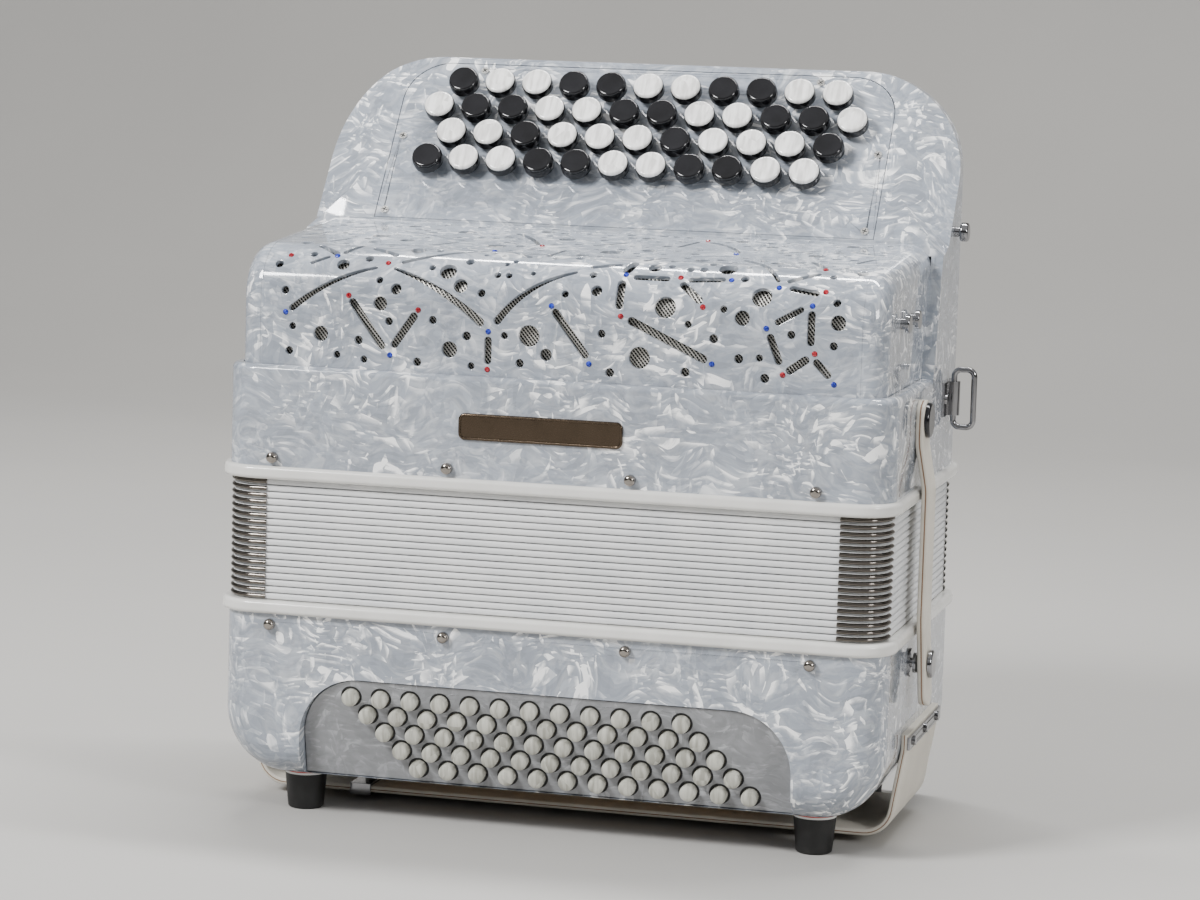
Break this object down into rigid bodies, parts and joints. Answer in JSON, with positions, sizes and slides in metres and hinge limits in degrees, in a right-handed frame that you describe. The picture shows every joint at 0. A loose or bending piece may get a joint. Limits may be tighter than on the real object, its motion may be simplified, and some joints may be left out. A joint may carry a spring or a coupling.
{
  "type": "button accordion",
  "caption": "Free-standing chromatic button accordion on its bass feet: pearl casings, pierced grille, pleated bellows, hand strap, stepped bass buttons and rows of round treble buttons.",
  "frame": {"origin": "on the floor under the middle of the instrument as it stands on its bass feet", "axes": "+X along both button boards towards the end that is uppermost in playing, -Y the front with both sets of buttons, +Z from the bass half to the treble half, the way the bellows opens"},
  "size_m": [0.3388, 0.179, 0.346],
  "materials": {
    "pearl_shell": "polished",
    "pearl_panel": "polished",
    "cream_bead": "polished",
    "bellows_cloth": "satin",
    "chrome_trim": "polished",
    "steel_mesh": "woven",
    "white_button": "pearl",
    "black_button": "polished",
    "cream_button": "pearl",
    "leather_cream": "smooth",
    "rubber_black": "matt",
    "washer_white": "matt",
    "wood_inner": "planed",
    "reed_aluminium": "milled",
    "felt_pad": "suede",
    "stone_red": "cut",
    "stone_blue": "cut",
    "bronze_plate": "brushed",
    "black_pin": "polished",
    "steel_part": "brushed"
  },
  "bodies": {
    "bass_half": {"bass_casing": "pearl_shell", "bass_button_board": "pearl_panel", "bass_guide_board": "wood_inner", "bass_base_plate": "wood_inner", "bass_screws": "chrome_trim", "bass_soundboard": "wood_inner", "bass_pallets": "felt_pad", "bass_reed_blocks": "wood_inner", "bass_reed_plates": "reed_aluminium", "bass_bellows_frame": "cream_bead", "bass_bellows_pins": "chrome_trim", "bass_strap": "leather_cream", "bass_strap_brackets": "chrome_trim", "bass_strap_studs": "chrome_trim", "rubber_feet": "rubber_black", "foot_washers": "washer_white"},
    "treble_half": {"treble_casing": "pearl_shell", "treble_bellows_frame": "cream_bead", "treble_bellows_pins": "chrome_trim", "treble_soundboard": "wood_inner", "treble_reed_blocks": "wood_inner", "treble_reed_plates": "reed_aluminium", "treble_pallets": "felt_pad", "treble_levers": "steel_part", "button_plate": "pearl_panel", "button_plate_screws": "chrome_trim", "grille_cover": "pearl_shell", "grille_mesh": "steel_mesh", "grille_stones_red": "stone_red", "grille_stones_blue": "stone_blue", "name_plate": "bronze_plate", "bellows_straps": "leather_cream", "bellows_strap_pins": "black_pin", "bellows_strap_snaps": "chrome_trim", "ring_brackets": "chrome_trim", "strap_stud": "chrome_trim"},
    "bass_row_1": {"bass_buttons_row_1": "cream_button"},
    "bass_row_2": {"bass_buttons_row_2": "cream_button"},
    "bass_row_3": {"bass_buttons_row_3": "cream_button"},
    "bass_row_4": {"bass_buttons_row_4": "cream_button"},
    "bass_row_5": {"bass_buttons_row_5": "cream_button"},
    "air_button": {"air_button": "chrome_trim"},
    "treble_row_1": {"treble_buttons_row_1_white": "white_button", "treble_buttons_row_1_black": "black_button"},
    "treble_row_2": {"treble_buttons_row_2_white": "white_button", "treble_buttons_row_2_black": "black_button"},
    "treble_row_3": {"treble_buttons_row_3_white": "white_button", "treble_buttons_row_3_black": "black_button"},
    "treble_row_4": {"treble_buttons_row_4_white": "white_button", "treble_buttons_row_4_black": "black_button"},
    "chin_switch_front": {"chin_switch_front": "chrome_trim"},
    "chin_switch_rear": {"chin_switch_rear": "chrome_trim"},
    "ring_right": {"strap_ring_right": "chrome_trim"},
    "ring_left": {"strap_ring_left": "chrome_trim"},
    "bellows_1": {"bellows_folds_1": "bellows_cloth", "bellows_corners_1": "chrome_trim"},
    "bellows_2": {"bellows_folds_2": "bellows_cloth", "bellows_corners_2": "chrome_trim"},
    "bellows_3": {"bellows_folds_3": "bellows_cloth", "bellows_corners_3": "chrome_trim"}
  },
  "joints": [
    {"name": "bellows_open", "type": "slide", "parent": "bass_half", "child": "treble_half", "axis": [0, 0, 1], "range_m": [0, 0.3]},
    {"name": "bellows_1_slide", "type": "slide", "parent": "bass_half", "child": "bellows_1", "axis": [0, 0, 1], "range_m": [0, 0.075]},
    {"name": "bellows_2_slide", "type": "slide", "parent": "bass_half", "child": "bellows_2", "axis": [0, 0, 1], "range_m": [0, 0.15]},
    {"name": "bellows_3_slide", "type": "slide", "parent": "bass_half", "child": "bellows_3", "axis": [0, 0, 1], "range_m": [0, 0.225]},
    {"name": "bass_row_1_press", "type": "slide", "parent": "bass_half", "child": "bass_row_1", "axis": [0, 0.9781, 0.2079], "range_m": [0, 0.0035], "stiffness_N_per_m": 250, "springref_m": -0.004},
    {"name": "bass_row_2_press", "type": "slide", "parent": "bass_half", "child": "bass_row_2", "axis": [0, 0.9781, 0.2079], "range_m": [0, 0.0035], "stiffness_N_per_m": 250, "springref_m": -0.004},
    {"name": "bass_row_3_press", "type": "slide", "parent": "bass_half", "child": "bass_row_3", "axis": [0, 0.9781, 0.2079], "range_m": [0, 0.0035], "stiffness_N_per_m": 250, "springref_m": -0.004},
    {"name": "bass_row_4_press", "type": "slide", "parent": "bass_half", "child": "bass_row_4", "axis": [0, 0.9781, 0.2079], "range_m": [0, 0.0035], "stiffness_N_per_m": 250, "springref_m": -0.004},
    {"name": "bass_row_5_press", "type": "slide", "parent": "bass_half", "child": "bass_row_5", "axis": [0, 0.9781, 0.2079], "range_m": [0, 0.0035], "stiffness_N_per_m": 250, "springref_m": -0.004},
    {"name": "treble_row_1_press", "type": "slide", "parent": "treble_half", "child": "treble_row_1", "axis": [0, 0.7986, -0.6018], "range_m": [0, 0.0035], "stiffness_N_per_m": 300, "springref_m": -0.004},
    {"name": "treble_row_2_press", "type": "slide", "parent": "treble_half", "child": "treble_row_2", "axis": [0, 0.7986, -0.6018], "range_m": [0, 0.0035], "stiffness_N_per_m": 300, "springref_m": -0.004},
    {"name": "treble_row_3_press", "type": "slide", "parent": "treble_half", "child": "treble_row_3", "axis": [0, 0.7986, -0.6018], "range_m": [0, 0.0035], "stiffness_N_per_m": 300, "springref_m": -0.004},
    {"name": "treble_row_4_press", "type": "slide", "parent": "treble_half", "child": "treble_row_4", "axis": [0, 0.7986, -0.6018], "range_m": [0, 0.0035], "stiffness_N_per_m": 300, "springref_m": -0.004},
    {"name": "air_button_press", "type": "slide", "parent": "bass_half", "child": "air_button", "axis": [0, -1, 0], "range_m": [0, 0.0028], "stiffness_N_per_m": 400, "springref_m": -0.004},
    {"name": "chin_switch_front_press", "type": "slide", "parent": "treble_half", "child": "chin_switch_front", "axis": [-1, 0, 0], "range_m": [0, 0.0022], "stiffness_N_per_m": 200, "springref_m": -0.003},
    {"name": "chin_switch_rear_press", "type": "slide", "parent": "treble_half", "child": "chin_switch_rear", "axis": [-1, 0, 0], "range_m": [0, 0.0022], "stiffness_N_per_m": 200, "springref_m": -0.003},
    {"name": "ring_right_hinge", "type": "hinge", "parent": "treble_half", "child": "ring_right", "pos_m": [0.1586, 0.048, 0.1965], "axis": [0, 0, 1], "range_deg": [-80, 80]},
    {"name": "ring_left_hinge", "type": "hinge", "parent": "treble_half", "child": "ring_left", "pos_m": [-0.1586, 0.048, 0.1965], "axis": [0, 0, 1], "range_deg": [-80, 80]}
  ],
  "couplings": [
    {"joint": "bellows_1_slide", "follows": "bellows_open", "ratio": 0.25},
    {"joint": "bellows_2_slide", "follows": "bellows_open", "ratio": 0.5},
    {"joint": "bellows_3_slide", "follows": "bellows_open", "ratio": 0.75}
  ]
}
